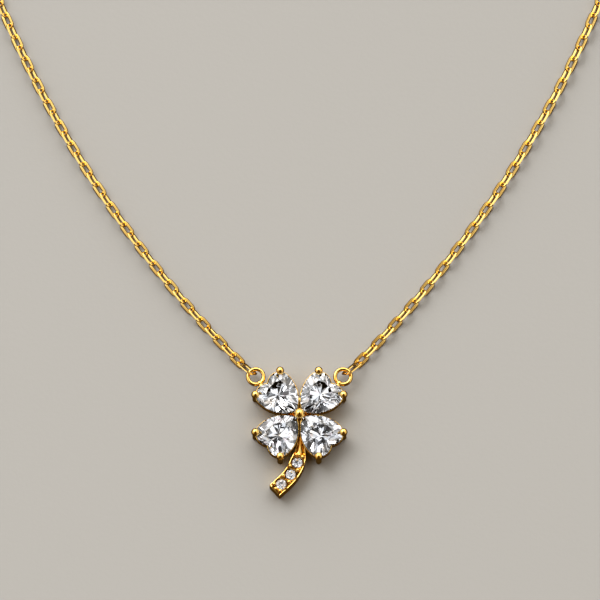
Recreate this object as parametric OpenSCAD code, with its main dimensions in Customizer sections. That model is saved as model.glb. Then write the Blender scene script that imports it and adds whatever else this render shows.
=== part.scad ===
// Four leaf clover pendant on a fine cable chain, in millimetres.
// The necklace lies face up on its back, with the stem pointing to -Y and the clasp at +Y.
// The origin is under the middle of the whole necklace, on the surface that it lies on.

/* [Heart stones] */
// Width of a heart stone across its lobes
heart_w = 5; // [4.6:0.05:5.3]
// Length of a heart stone from its tip to the top of its lobes
heart_l = 5.4; // [5:0.05:5.9]
// Radius of each lobe of a heart stone
lobe_r = 1.45; // [1.36:0.01:1.6]
// Distance from the middle of the clover to the tip of each heart
tip_gap = 0.58; // [0.54:0.02:0.8]
// Height of the hearts' girdle above the back
girdle_z = 2.35; // [2.1:0.05:2.8]
// Height of a heart's table above its girdle
crown_h = 0.72; // [0.5:0.02:0.9]
// Thickness of a heart's girdle
girdle_t = 0.12; // [0.06:0.02:0.2]
// Height of a heart's lowest point above the back
culet_z = 0.2; // [0.1:0.05:0.5]

/* [Setting] */
// Thickness of the heart-shaped gallery walls
wall = 0.35; // [0.25:0.05:0.5]
// How far the gallery shows outside the stones
rim_show = 0.1; // [0.06:0.02:0.2]
// Height of the gallery's upper band
band_h = 1; // [0.7:0.05:1.4]
// How far the gallery draws in below its band
base_inset = 0.3; // [0.2:0.05:0.4]
// Gap between a stone and the metal round it
stone_gap = 0.04; // [0.02:0.01:0.08]
// Diameter of the ball on each outer prong
bead_d = 0.9; // [0.8:0.05:1.1]
// Diameter of the ball that holds the four tips
centre_bead_d = 1.15; // [1.1:0.05:1.4]
// Height of the balls' middles above the girdle
bead_rise = 0.4; // [0.3:0.05:0.5]
// Diameter of the prongs' posts
post_d = 0.7; // [0.5:0.05:0.8]
// Turn of each prong round its lobe, from the heart's axis
prong_turn = 47; // [40:1:58]
// Length of the bars between the upper hearts and between the lower hearts
bar_l = 2.15; // [1.5:0.05:2.5]

/* [Side rings] */
// Outer diameter of the rings that carry the chain
ring_d = 2.45; // [2.2:0.05:3]
// Wire of the rings that carry the chain
ring_wire = 0.49; // [0.4:0.01:0.55]
// Height of the side rings' middles above the back
ring_z = 1.3; // [1:0.05:1.6]
// Turn of each side ring round the lobe that it is soldered to, from the heart's axis
ring_turn = 15; // [8:1:22]
// Gap between that lobe's wall and the ring, which solder bridges
ring_standoff = 0.22; // [0.16:0.02:0.4]

/* [Stem] */
// Length of the stem along its middle
stem_l = 7.95; // [7.6:0.05:9]
// Width of the stem
stem_w = 1.9; // [1.8:0.05:2.3]
// Height of the stem's rim above the back
stem_h = 2; // [1.6:0.05:2.2]
// Distance from the middle of the clover down to the stem's point
stem_start = 2.8; // [2.4:0.05:3]
// Distance of the stem's point to the right of the clover's middle line
stem_x = 0.15; // [0:0.05:0.2]
// Straight length at the stem's point
stem_lead = 1.05; // [0.8:0.05:1.4]
// Radius of the stem's bend
stem_bend_r = 6.4; // [5.5:0.1:8]
// Turn of the stem's bend
stem_turn = 47; // [35:1:55]
// Width of the rim round the stem's channel
stem_rim = 0.2; // [0.14:0.02:0.26]
// Depth of the channel
channel_depth = 0.3; // [0.2:0.05:0.5]
// Diameter of the round stones
round_d = 1.25; // [1.1:0.05:1.35]
// Distance between the round stones
round_pitch = 1.72; // [1.6:0.02:1.8]
// Distance from the stem's end to the last round stone
round_end = 1.15; // [1:0.05:1.3]
// Diameter of the grains that hold the round stones
grain_d = 0.36; // [0.3:0.02:0.4]

/* [Chain] */
// Length of a link
link_l = 2.32; // [2.2:0.02:2.8]
// Width of a link
link_w = 1.4; // [1.3:0.05:1.6]
// Wire of the links
link_wire = 0.32; // [0.26:0.02:0.34]
// Gap between two links
link_play = 0.12; // [0.1:0.01:0.2]
// Roll of every other link from flat; the links between stand square to them
link_roll = 40; // [35:1:55]
// Length of the longer link at each end of a chain
end_link_l = 3; // [2.8:0.05:3.6]
// Width of the longer link
end_link_w = 1.75; // [1.7:0.05:1.9]
// Roll of the longer link from flat
end_roll = 56; // [52:1:65]
// Gap between the longer link and what it holds
end_play = 0.24; // [0.22:0.01:0.3]

/* [Loop] */
// Lean of the chain from straight up where it leaves a side ring
lean = 45; // [38:0.5:50]
// Radius of the long bend of each side
side_bend_r = 147; // [130:1:165]
// Straight length of each side above its long bend
side_straight = 3; // [0:1:20]

/* [Clasp] */
// Length of the clasp's barrel
clasp_l = 6; // [5:0.5:9]
// Diameter of the clasp's barrel
clasp_d = 2; // [1.8:0.1:3]

/* [Hidden] */
$fn = 32;

// Shape of the heart: both arcs of a side meet straight abreast of the lobe's middle
culet_share = 0.58;
lobe_u = tip_gap + heart_l - lobe_r;
lobe_v = heart_w / 2 - lobe_r;
side_r = (pow(heart_l - lobe_r, 2) + pow(heart_w / 2, 2)) / heart_w;
culet_u = tip_gap + culet_share * heart_l;

// Cut of the stones, as shares of their outline
facet_steps = 6;
heart_table = 0.58;
round_table = 0.56;
round_mains = 8;
upper_mid = 0.8;
lower_mid = 0.3;
round_crown = 0.16 * round_d;
round_pavilion = 0.43 * round_d;
round_girdle = 0.04 * round_d;

// Heights in the setting
gallery_h = girdle_z - girdle_t / 2;
bead_z = girdle_z + bead_rise;
low_bar_h = gallery_h / 2;
bar_w = 2 * (rim_show + wall);
wall_steps = 12;

// Stones in the stem, and its sections: share of its length, share of its width
stem_rows = 3;
stem_sections = [
    [0, 0.13], [0.06, 0.34], [0.114, 0.5], [0.18, 0.65],
    [0.257, 0.79], [0.34, 0.92], [0.42, 1], [1, 1],
];
stem_steps = 28;
round_z = stem_h - round_crown / 2 - round_girdle;
round_first = stem_l - round_end - (stem_rows - 1) * round_pitch;
channel_start = round_first - round_pitch / 2 - grain_d / 2;

// Grains: place along the stem in stone pitches from the first stone, share of the channel's half width
grains = [
    [-0.56, -0.64], [-0.6, 0], [-0.5, 0.66],
    [0.46, -0.86], [0.48, 0.6], [1.42, -0.84], [1.48, 0.58],
    [2.36, -0.84], [2.5, -0.06], [2.4, 0.66],
];

// Rings, and the route of the chain's right side from the middle of a side ring to that of a clasp ring
ring_r = (ring_d - ring_wire) / 2;
solder_d = 1.2 * ring_wire;
solder_end_d = 1.5 * ring_wire;
ring_reach = lobe_r + rim_show + ring_standoff + ring_d / 2;
ring_u = lobe_u + ring_reach * cos(ring_turn);
ring_v = lobe_v - ring_reach * sin(ring_turn);
ring_x = (ring_u + ring_v) * cos(45);
ring_y = (ring_u - ring_v) * cos(45);
clasp_ring_x = clasp_l / 2 + ring_r - ring_wire / 4;
side_x = ring_x + side_bend_r * (1 - cos(lean));
top_bend_r = side_x - clasp_ring_x;
side_len = side_bend_r * lean * PI / 180;
top_len = top_bend_r * PI / 2;
route_len = side_len + side_straight + top_len;
straight_y = ring_y + side_bend_r * sin(lean);
clasp_y = straight_y + side_straight + top_bend_r;

// Links lie rolled to one side and the other in turn, each resting on the surface.
// The longer links slope down from their rings, and the lift keeps their low curl above the surface.
end_lift = 0.03;
end_hang = (end_link_l - ring_wire) / 2 - link_wire - end_play;
end_z = ((end_link_w - link_wire) * sin(end_roll) + link_wire) / 2 + end_lift;
first_s = end_span(ring_z);
chain_len = route_len - first_s - end_span(clasp_d / 2);
link_count = ceil((chain_len - link_l) / (link_l - 2 * link_wire - link_play)) + 1;
link_pitch = (chain_len - link_l) / (link_count - 1);

// Place of the clover in the necklace's own frame
stem_tip = stem_point(stem_l);
low_y = stem_tip[1] - stem_w / 2 * sin(stem_turn);
clover_y = -(clasp_y + max(ring_d, clasp_d) / 2 + low_y) / 2;

// Points along an arc, from one angle up to but not including another
function arc(centre, r, from, to, steps) =
    [for (i = [0:steps - 1]) let (a = from + (to - from) * i / steps) centre + r * [cos(a), sin(a)]];

// Outline of a heart, grown all round, anticlockwise from its tip, with its tip towards the origin
function heart_outline(grow, steps) =
    let (
        centre_v = side_r - heart_w / 2,
        tip_turn = asin(centre_v / (side_r + grow)),
        cleft_turn = asin(min(1, lobe_v / (lobe_r + grow))),
        half = concat(
            arc([lobe_u, centre_v], side_r + grow, 180 + tip_turn, 270, steps),
            arc([lobe_u, -lobe_v], lobe_r + grow, -90, cleft_turn, steps)
        ),
        cleft = [lobe_u + (lobe_r + grow) * cos(cleft_turn), 0]
    )
    concat(half, [cleft], [for (i = [len(half) - 1:-1:1]) [half[i][0], -half[i][1]]]);

function between(a, b, share) = a + (b - a) * share;

// Direction of the stem at a length from its point, turned from straight down
function stem_angle(s) = min(stem_turn, max(0, (s - stem_lead) / stem_bend_r * 180 / PI));

// Middle of the stem at a length from its point
function stem_point(s) =
    let (
        a = stem_angle(s),
        bend_l = stem_bend_r * stem_turn * PI / 180,
        lead = min(s, stem_lead),
        tail = max(0, s - stem_lead - bend_l)
    )
    [
        stem_x - stem_bend_r * (1 - cos(a)) - tail * sin(a),
        -stem_start - lead - stem_bend_r * sin(a) - tail * cos(a),
    ];

function stem_side(s, offset) = stem_point(s) + offset * [cos(stem_angle(s)), -sin(stem_angle(s))];

function stem_width(s) =
    lookup(s / stem_l, stem_sections) * stem_w;

// Outline of the stem between two lengths, set in from its edge
function stem_outline(from, to, inset) =
    let (marks = [for (i = [0:stem_steps]) from + (to - from) * i / stem_steps])
    concat(
        [for (s = marks) stem_side(s, stem_width(s) / 2 - inset)],
        [for (i = [stem_steps:-1:0]) stem_side(marks[i], inset - stem_width(marks[i]) / 2)]
    );

// Heading of the chain at a length along its route: 0 is +Y, and positive leans outwards
function heading(s) =
    s < side_len ? lean - s / side_bend_r * 180 / PI
    : -max(0, (s - side_len - side_straight) / top_bend_r * 180 / PI);

function route_plan(s) =
    let (a = heading(s))
    s < side_len ? [ring_x, ring_y] + side_bend_r * [cos(a) - cos(lean), sin(lean) - sin(a)]
    : [side_x, straight_y + min(s - side_len, side_straight)] - top_bend_r * [1 - cos(a), sin(a)];

function roll_of(i) = i % 2 == 0 ? link_roll : link_roll - 90;

// Height of the middle of a link that rests on the surface
function lay_z(turn) = ((link_w - link_wire) * abs(sin(turn)) + link_wire) / 2;

// Slope of the longer link, which comes down from a ring at the given height until it rests on the surface
function end_slope(from_z) = asin((from_z - end_z) / (end_hang + (end_link_l - end_link_w) / 2));

// Length of the route from the middle of a ring to the start of the other links
function end_span(from_z) =
    ring_r + (end_hang + end_link_l / 2 - link_wire) * cos(end_slope(from_z)) - link_wire - end_play;

// A stone with a flat table, kites, stars and a pointed back, round the given rim
module brilliant(rim, centre, table, crown, girdle, pavilion) {
    n = len(rim) / 2;
    flank = cos(180 / n);
    mid_z = girdle / 2 + crown * (1 - upper_mid * flank) / (1 - table);
    low_z = -girdle / 2 - pavilion * (1 - lower_mid * flank);
    points = concat(
        [for (k = [0:n - 1]) concat(between(centre, rim[2 * k], table), girdle / 2 + crown)],
        [for (k = [0:n - 1]) concat(between(centre, rim[2 * k + 1], upper_mid), mid_z)],
        [for (p = rim) concat(p, girdle / 2)],
        [for (p = rim) concat(p, -girdle / 2)],
        [for (k = [0:n - 1]) concat(between(centre, rim[2 * k + 1], lower_mid), low_z)],
        [concat(centre, -girdle / 2 - pavilion)]
    );
    function t(k) = (k + n) % n;
    function m(k) = n + (k + n) % n;
    function g(i) = 2 * n + i % (2 * n);
    function b(i) = 4 * n + i % (2 * n);
    function p(k) = 6 * n + (k + n) % n;
    faces = concat(
        [[0, for (k = [n - 1:-1:1]) k]],
        [for (k = [0:n - 1]) each [
            [t(k), t(k + 1), m(k)],
            [t(k), m(k), g(2 * k)],
            [t(k), g(2 * k), m(k - 1)],
            [m(k), g(2 * k + 1), g(2 * k)],
            [m(k), g(2 * k + 2), g(2 * k + 1)],
            [b(2 * k), b(2 * k + 1), p(k)],
            [b(2 * k + 1), b(2 * k + 2), p(k)],
            [b(2 * k), p(k), 7 * n],
            [b(2 * k), 7 * n, p(k - 1)],
        ]],
        [for (i = [0:2 * n - 1]) [g(i), g(i + 1), b(i + 1), b(i)]]
    );
    polyhedron(points, faces, convexity = 4);
}

// Heart stone, or with a gap the space that it takes in the setting
module heart_cut(gap) {
    translate([0, 0, girdle_z])
        brilliant(
            heart_outline(gap, facet_steps), [culet_u, 0], heart_table,
            crown_h + gap, girdle_t + 2 * gap, girdle_z - girdle_t / 2 - culet_z
        );
}

module round_cut(gap) {
    rim = arc([0, 0], round_d / 2 + gap, 0, 360, 2 * round_mains);
    brilliant(rim, [0, 0], round_table, round_crown + gap, round_girdle + 2 * gap, round_pavilion);
}

module at_hearts() {
    for (turn = [45:90:315]) rotate(turn) children();
}

module at_round(row) {
    s = round_first + row * round_pitch;
    translate(concat(stem_point(s), round_z)) rotate(-stem_angle(s)) children();
}

module in_place() {
    translate([0, clover_y, 0]) children();
}

// Ball-tipped prong that stands at the outer edge of a lobe
module prong() {
    reach = lobe_r + rim_show;
    translate([lobe_u + reach * cos(prong_turn), lobe_v + reach * sin(prong_turn), 0]) {
        cylinder(d = post_d, h = bead_z);
        translate([0, 0, bead_z]) sphere(d = bead_d);
    }
}

// Heart-shaped tube, with its outside grown from the stone's outline
module heart_wall(grow, thickness, h) {
    linear_extrude(h) difference() {
        polygon(heart_outline(grow, wall_steps));
        polygon(heart_outline(grow - thickness, wall_steps));
    }
}

module heart_basket() {
    translate([0, 0, gallery_h - band_h]) heart_wall(rim_show, base_inset + wall, band_h);
    heart_wall(rim_show - base_inset, wall, gallery_h - band_h);
    for (side = [0, 1]) mirror([0, side, 0]) prong();
}

// The centre post and the low cross that join the four baskets
module middle() {
    cylinder(d = centre_bead_d - 2 * stone_gap, h = bead_z);
    translate([0, 0, bead_z]) sphere(d = centre_bead_d);
    for (turn = [90, 270]) rotate(turn) translate([0, -bar_w / 2, 0]) cube([bar_l, bar_w, gallery_h]);
    for (turn = [0, 180]) rotate(turn) translate([0, -bar_w / 2, 0]) cube([bar_l, bar_w, low_bar_h]);
}

module torus(d, wire) {
    rotate_extrude() translate([(d - wire) / 2, 0]) circle(d = wire);
}

// Ring of round wire, with the solder that joins it to a lobe of its heart
module side_ring() {
    solder_l = wall + ring_standoff + ring_wire / 2;
    translate([lobe_u, -lobe_v, ring_z]) rotate(ring_turn) {
        translate([ring_reach, 0, 0]) torus(ring_d, ring_wire);
        translate([ring_reach - ring_r, 0, 0]) {
            rotate([0, -90, 0]) cylinder(d = solder_d, h = solder_l);
            sphere(d = solder_end_d);
        }
    }
}

// Stem with its channel and grains, soldered between the two lower baskets
module stem() {
    difference() {
        linear_extrude(stem_h) polygon(stem_outline(0, stem_l, 0));
        translate([0, 0, stem_h - channel_depth]) linear_extrude(channel_depth + 1)
            polygon(stem_outline(channel_start, stem_l - stem_rim, stem_rim));
    }
    for (grain = grains) {
        s = round_first + grain[0] * round_pitch;
        translate(concat(stem_side(s, grain[1] * (stem_width(s) / 2 - stem_rim)), stem_h - channel_depth)) {
            cylinder(d = grain_d, h = channel_depth);
            translate([0, 0, channel_depth]) sphere(d = grain_d);
        }
    }
}

module clover_setting() {
    color("#e8b84a") in_place() difference() {
        union() {
            at_hearts() heart_basket();
            middle();
            for (side = [0, 1]) mirror([side, 0, 0]) rotate(45) side_ring();
            stem();
        }
        at_hearts() heart_cut(stone_gap);
        for (row = [0:stem_rows - 1]) at_round(row) round_cut(stone_gap);
    }
}

module heart_stone(turn) {
    color("#eef3f7") in_place() rotate(turn) heart_cut(0);
}

module stem_stone(row) {
    color("#eef3f7") in_place() at_round(row) round_cut(0);
}

// One link of round wire, along X
module link(l, w) {
    r = (w - link_wire) / 2;
    half = (l - w) / 2;
    for (turn = [0, 180]) rotate(turn) {
        translate([half, 0, 0]) rotate(-90) rotate_extrude(angle = 180)
            translate([r, 0]) circle(d = link_wire);
        translate([-half, r, 0]) rotate([0, 90, 0]) cylinder(d = link_wire, h = 2 * half);
    }
}

// Places a link at a length along the route and a height, rolled about the route and tipped down along it
module on_route(s, z, turn, tip) {
    translate(concat(route_plan(s), z)) rotate([turn, tip, 90 - heading(s)]) children();
}

// Right side of the chain, with a longer link at each end
module chain_side() {
    ring_tip = end_slope(ring_z);
    clasp_tip = end_slope(clasp_d / 2);
    on_route(ring_r + end_hang * cos(ring_tip), ring_z - end_hang * sin(ring_tip), -end_roll, ring_tip)
        link(end_link_l, end_link_w);
    for (i = [0:link_count - 1])
        on_route(first_s + link_l / 2 + i * link_pitch, lay_z(roll_of(i)), roll_of(i), 0)
            link(link_l, link_w);
    on_route(
        route_len - ring_r - end_hang * cos(clasp_tip), clasp_d / 2 - end_hang * sin(clasp_tip),
        link_count % 2 == 0 ? end_roll : -end_roll, -clasp_tip
    ) link(end_link_l, end_link_w);
}

module chain_right() {
    color("#e8b84a") in_place() chain_side();
}

module chain_left() {
    color("#e8b84a") in_place() mirror([1, 0, 0]) chain_side();
}

// Plain barrel with a ring at each end
module clasp() {
    chamfer = clasp_d / 5;
    color("#e8b84a") in_place() translate([0, clasp_y, clasp_d / 2]) {
        rotate([0, 90, 0]) rotate_extrude() polygon([
            [0, -clasp_l / 2], [clasp_d / 2 - chamfer, -clasp_l / 2], [clasp_d / 2, chamfer - clasp_l / 2],
            [clasp_d / 2, clasp_l / 2 - chamfer], [clasp_d / 2 - chamfer, clasp_l / 2], [0, clasp_l / 2],
        ]);
        for (side = [-1, 1]) translate([side * clasp_ring_x, 0, 0]) torus(ring_d, ring_wire);
    }
}

clover_setting();
heart_stone(45);  // heart_stone_upper_right
heart_stone(135);  // heart_stone_upper_left
heart_stone(225);  // heart_stone_lower_left
heart_stone(315);  // heart_stone_lower_right
stem_stone(0);  // stem_stone_top
stem_stone(1);  // stem_stone_middle
stem_stone(2);  // stem_stone_bottom
chain_left();
chain_right();
clasp();
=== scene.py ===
"""Looks of a four leaf clover necklace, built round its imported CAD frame."""

import logging
import math
from dataclasses import dataclass
from enum import Enum
from typing import Any

import bmesh
import bpy
from bmesh.types import BMEdge, BMesh, BMVert
from bpy.types import NodeSocket, NodeTree
from mathutils import Matrix, Vector


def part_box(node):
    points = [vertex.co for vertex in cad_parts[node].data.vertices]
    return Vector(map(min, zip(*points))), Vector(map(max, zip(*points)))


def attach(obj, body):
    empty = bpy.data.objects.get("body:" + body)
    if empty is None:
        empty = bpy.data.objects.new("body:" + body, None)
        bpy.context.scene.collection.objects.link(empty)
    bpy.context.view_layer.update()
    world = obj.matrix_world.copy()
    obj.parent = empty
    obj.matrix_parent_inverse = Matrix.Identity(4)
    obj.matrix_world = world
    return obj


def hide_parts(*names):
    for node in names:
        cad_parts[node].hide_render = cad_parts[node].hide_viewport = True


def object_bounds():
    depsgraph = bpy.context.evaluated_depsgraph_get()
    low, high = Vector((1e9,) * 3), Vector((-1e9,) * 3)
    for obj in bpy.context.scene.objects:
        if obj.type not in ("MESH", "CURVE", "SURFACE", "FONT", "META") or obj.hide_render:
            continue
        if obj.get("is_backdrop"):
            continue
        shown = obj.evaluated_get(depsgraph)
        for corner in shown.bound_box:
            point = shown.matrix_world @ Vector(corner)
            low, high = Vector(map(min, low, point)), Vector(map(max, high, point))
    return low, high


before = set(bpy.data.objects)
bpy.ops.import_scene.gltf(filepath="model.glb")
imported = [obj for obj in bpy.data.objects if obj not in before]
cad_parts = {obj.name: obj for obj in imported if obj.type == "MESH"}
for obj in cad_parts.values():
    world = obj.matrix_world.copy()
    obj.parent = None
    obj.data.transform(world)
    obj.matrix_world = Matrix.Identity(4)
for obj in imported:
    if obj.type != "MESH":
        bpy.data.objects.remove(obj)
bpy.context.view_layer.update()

log = logging.getLogger("necklace")

MM = 0.001
# Points nearer than this are one point; the second value is for the stones' cuts. In millimetres.
WELD = 1e-4
FINE = 1e-5
Point = tuple[float, float]
Direction = tuple[float, float, float]
Colour = tuple[float, float, float, float]
Stops = tuple[tuple[float, Colour], ...]


class Slot(Enum):
    """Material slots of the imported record."""

    GOLD = "gold"
    STONE = "stone"


class Leaf(Enum):
    """The four heart stones, with the turn of each about the clover's middle in degrees."""

    UPPER_RIGHT = 45
    UPPER_LEFT = 135
    LOWER_LEFT = 225
    LOWER_RIGHT = 315

    @property
    def node(self) -> str:
        """Name of the stone's CAD node."""
        return f"heart_stone_{self.name.lower()}"


class Side(Enum):
    """The two sides of the chain, with the sign of their X."""

    LEFT = -1
    RIGHT = 1


def linear(colour: str) -> Colour:
    """Turn an sRGB hex colour into linear values.

    Args:
        colour: Colour such as "#F6C35A".

    Returns:
        Linear red, green and blue, and an alpha of 1.
    """
    parts = [int(colour[i:i + 2], 16) / 255 for i in (1, 3, 5)]
    red, green, blue = (c / 12.92 if c <= 0.04045 else ((c + 0.055) / 1.055) ** 2.4 for c in parts)
    return red, green, blue, 1.0


def grey_stops(tones: tuple[Point, ...]) -> Stops:
    """Stops of a ramp of plain tones, from the position and tone of each."""
    return tuple((position, (tone, tone, tone, 1.0)) for position, tone in tones)


def grain(size_mm: float, detail: float, roughness: float = 0.5) -> dict[str, float]:
    """Socket values of a noise whose pattern has a real size.

    Args:
        size_mm: Size of the pattern.
        detail: How many finer layers it has.
        roughness: How strong they are.

    Returns:
        Socket values by name.
    """
    return {"Scale": 1 / (size_mm * MM), "Detail": detail, "Roughness": roughness}


def add_node(
    tree: NodeTree,
    kind: str,
    settings: dict[str, Any] | None = None,
    inputs: dict[str | int, Any] | None = None,
    links: dict[str | int, NodeSocket] | None = None,
    stops: Stops = (),
) -> bpy.types.Node:
    """Add a node with its settings, socket values and links.

    Args:
        tree: Node tree to add to.
        kind: Node type, without the "ShaderNode" that each begins with.
        settings: Node properties by name.
        inputs: Socket values by name or number.
        links: Source sockets by the name or number of the input they feed.
        stops: Position and colour of each stop of a ramp, in rising order.

    Returns:
        The new node.
    """
    node = tree.nodes.new(f"ShaderNode{kind}")
    for name, value in (settings or {}).items():
        setattr(node, name, value)
    for name, value in (inputs or {}).items():
        node.inputs[name].default_value = value
    for name, source in (links or {}).items():
        tree.links.new(source, node.inputs[name])
    if stops:
        marks = node.color_ramp.elements
        while len(marks) < len(stops):
            marks.new(0.5)
        for mark, (position, colour) in zip(marks, stops):
            mark.position, mark.color = position, colour
    return node


@dataclass(frozen=True)
class Finish:
    """What a piece is made of."""

    name: str

    def material(self) -> bpy.types.Material:
        """Make the material, or give the one made before.

        Returns:
            The material.
        """
        if self.name in bpy.data.materials:
            return bpy.data.materials[self.name]
        material = bpy.data.materials.new(self.name)
        material.use_nodes = True
        tree = material.node_tree
        tree.nodes.clear()
        surface = self.surface(tree, add_node(tree, "TexCoord").outputs["Object"])
        add_node(tree, "OutputMaterial", links={"Surface": surface})
        return material

    def surface(self, tree: NodeTree, place: NodeSocket) -> NodeSocket:
        """Shade the material.

        Args:
            tree: Node tree to add to.
            place: Object coordinates.

        Returns:
            The shader's output.
        """
        raise NotImplementedError(self.name)


@dataclass(frozen=True)
class GoldPlate(Finish):
    """Brass cast, tumbled and hand polished, then plated in warm yellow gold.

    The eye sees a mirror that is slightly soft: fine hairlines from the buff break the edges of
    the highlights, and the plate is a little redder where it lies thicker.
    """

    name: str = "polished_gold_plate_on_brass"
    colour: str = "#F0CA72"
    thick_colour: str = "#E9B95F"
    roughness: float = 0.07
    roughness_swing: float = 0.06
    cloud_mm: float = 1.6
    cloud_range: Point = (0.35, 0.7)
    # Real buffing hairlines are about 0.01 mm apart; drawn ten times coarser, so that they show.
    hairline_mm: float = 0.1
    hairline_range: Point = (0.3, 0.7)
    hairline_stretch: float = 7.0
    hairline_turn: Direction = (0.3, 0.2, 0.7)
    hairline_depth_mm: float = 0.0014
    # The skin of the cast metal still swells and dips very slightly under the polish.
    swell_mm: float = 0.7
    swell_depth_mm: float = 0.012

    def surface(self, tree: NodeTree, place: NodeSocket) -> NodeSocket:
        """Shade the plate.

        Args:
            tree: Node tree to add to.
            place: Object coordinates.

        Returns:
            The shader's output.
        """
        cloud = add_node(tree, "TexNoise", None, grain(self.cloud_mm, 3.0, 0.55), {"Vector": place})
        colours = zip(self.cloud_range, (linear(self.colour), linear(self.thick_colour)))
        tint = add_node(tree, "ValToRGB", links={"Fac": cloud.outputs["Fac"]}, stops=tuple(colours))
        drawn = add_node(
            tree, "Mapping", None,
            {"Rotation": self.hairline_turn, "Scale": (1.0, 1 / self.hairline_stretch, 1.0)},
            {"Vector": place},
        )
        hairlines = add_node(
            tree, "TexNoise", None, grain(self.hairline_mm, 2.0, 0.6), {"Vector": drawn.outputs["Vector"]},
        )
        low, high = self.hairline_range
        rough = add_node(
            tree, "MapRange", None,
            {
                "From Min": low, "From Max": high,
                "To Min": self.roughness, "To Max": self.roughness + self.roughness_swing,
            },
            {"Value": hairlines.outputs["Fac"]},
        )
        swell = add_node(tree, "TexNoise", None, grain(self.swell_mm, 1.0), {"Vector": place})
        cast = add_node(
            tree, "Bump", None,
            {"Strength": 1.0, "Distance": self.swell_depth_mm * MM}, {"Height": swell.outputs["Fac"]},
        )
        buffed = add_node(
            tree, "Bump", None, {"Strength": 1.0, "Distance": self.hairline_depth_mm * MM},
            {"Height": hairlines.outputs["Fac"], "Normal": cast.outputs["Normal"]},
        )
        return add_node(
            tree, "BsdfPrincipled", None, {"Metallic": 1.0},
            {
                "Base Color": tint.outputs["Color"], "Roughness": rough.outputs["Result"],
                "Normal": buffed.outputs["Normal"],
            },
        ).outputs["BSDF"]


@dataclass(frozen=True)
class CubicZirconia(Finish):
    """Clear cubic zirconia, sawn, faceted and polished.

    The eye sees hard black and white splinters that change from facet to facet. A faint tint of rose,
    amber and blue is painted into the stone's colour and fixed in place, as painted fire where the stone
    splits the light.
    """

    name: str = "faceted_cubic_zirconia"
    # A little under the real 2.15 to 2.18, to match the photograph.
    ior: float = 2.05
    gloss: float = 0.55
    # Painted fire: a noise of this size faintly tints the stone's colour rose, amber and blue. It stands
    # in for light that the stone splits.
    painted_fire_mm: float = 1.1
    painted_fire: tuple[str, ...] = ("#FFEEDC", "#FFFFFF", "#EEF4FF", "#FFFFFF", "#FFEAF1")
    painted_fire_start: float = 0.3
    painted_fire_step: float = 0.1

    def surface(self, tree: NodeTree, place: NodeSocket) -> NodeSocket:
        """Shade the stone.

        Args:
            tree: Node tree to add to.
            place: Object coordinates.

        Returns:
            The shader's output.
        """
        # Painted fire: a fixed faint tint in the stone's colour, in place of the split light.
        painted_fire_spread = add_node(tree, "TexNoise", None, grain(self.painted_fire_mm, 1.0), {"Vector": place})
        colours = ((self.painted_fire_start + self.painted_fire_step * i, linear(c)) for i, c in enumerate(self.painted_fire))
        painted_fire = add_node(tree, "ValToRGB", links={"Fac": painted_fire_spread.outputs["Fac"]}, stops=tuple(colours))
        return add_node(
            tree, "BsdfPrincipled", None,
            {
                "Roughness": 0.0, "IOR": self.ior, "Transmission Weight": 1.0,
                "Specular Tint": (self.gloss, self.gloss, self.gloss, 1.0),
            },
            {"Base Color": painted_fire.outputs["Color"]},
        ).outputs["BSDF"]


@dataclass(frozen=True)
class PaleCard(Finish):
    """Uncoated pale card, which gives the eye a plain ground with a faint tooth."""

    name: str = "uncoated_pale_card"
    colour: str = "#9E9D9B"
    roughness: float = 0.9
    gloss: float = 0.2
    tooth_mm: float = 0.6
    tooth_depth_mm: float = 0.05
    tooth_strength: float = 0.3

    def surface(self, tree: NodeTree, place: NodeSocket) -> NodeSocket:
        """Shade the card.

        Args:
            tree: Node tree to add to.
            place: Object coordinates.

        Returns:
            The shader's output.
        """
        tooth = add_node(tree, "TexNoise", None, grain(self.tooth_mm, 3.0), {"Vector": place})
        bump = add_node(
            tree, "Bump", None,
            {"Strength": self.tooth_strength, "Distance": self.tooth_depth_mm * MM},
            {"Height": tooth.outputs["Fac"]},
        )
        return add_node(
            tree, "BsdfPrincipled", None,
            {
                "Base Color": linear(self.colour), "Roughness": self.roughness,
                "Specular IOR Level": self.gloss,
            },
            {"Normal": bump.outputs["Normal"]},
        ).outputs["BSDF"]


@dataclass(frozen=True)
class TentCloth(Finish):
    """White tent cloth with darker folds, lit from behind, which gives the eye a patchy soft glow."""

    name: str = "lit_white_tent_cloth"
    fold_mm: float = 420.0
    hang: Direction = (1.0, 7.0, 2.0)
    tones: tuple[Point, ...] = ((0.41, 0.05), (0.47, 0.17), (0.52, 0.52), (0.585, 1.35))

    def surface(self, tree: NodeTree, place: NodeSocket) -> NodeSocket:
        """Shade the cloth.

        Args:
            tree: Node tree to add to.
            place: Object coordinates.

        Returns:
            The glow's output.
        """
        hung = add_node(tree, "Mapping", None, {"Location": self.hang}, {"Vector": place})
        folds = add_node(
            tree, "TexNoise", None, grain(self.fold_mm, 1.0, 0.4), {"Vector": hung.outputs["Vector"]},
        )
        tone = add_node(
            tree, "ValToRGB", links={"Fac": folds.outputs["Fac"]}, stops=grey_stops(self.tones),
        )
        return add_node(
            tree, "Emission", None, {"Strength": 1.0}, {"Color": tone.outputs["Color"]},
        ).outputs["Emission"]

    def material(self) -> bpy.types.Material:
        """Make the material, and keep the tent out of the list of lights, because it is only looked at.

        Returns:
            The material.
        """
        material = super().material()
        material.cycles.emission_sampling = "NONE"
        return material


GOLD = GoldPlate()
DRAWN_GOLD = GoldPlate(
    name="diamond_cut_gold_chain_wire", colour="#FFDE86", thick_colour="#FCD176",
    roughness=0.18, roughness_swing=0.1, hairline_stretch=3.0, swell_depth_mm=0.004, swell_mm=0.5,
)
ZIRCONIA = CubicZirconia()
CARD = PaleCard()
CLOTH = TentCloth()


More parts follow.
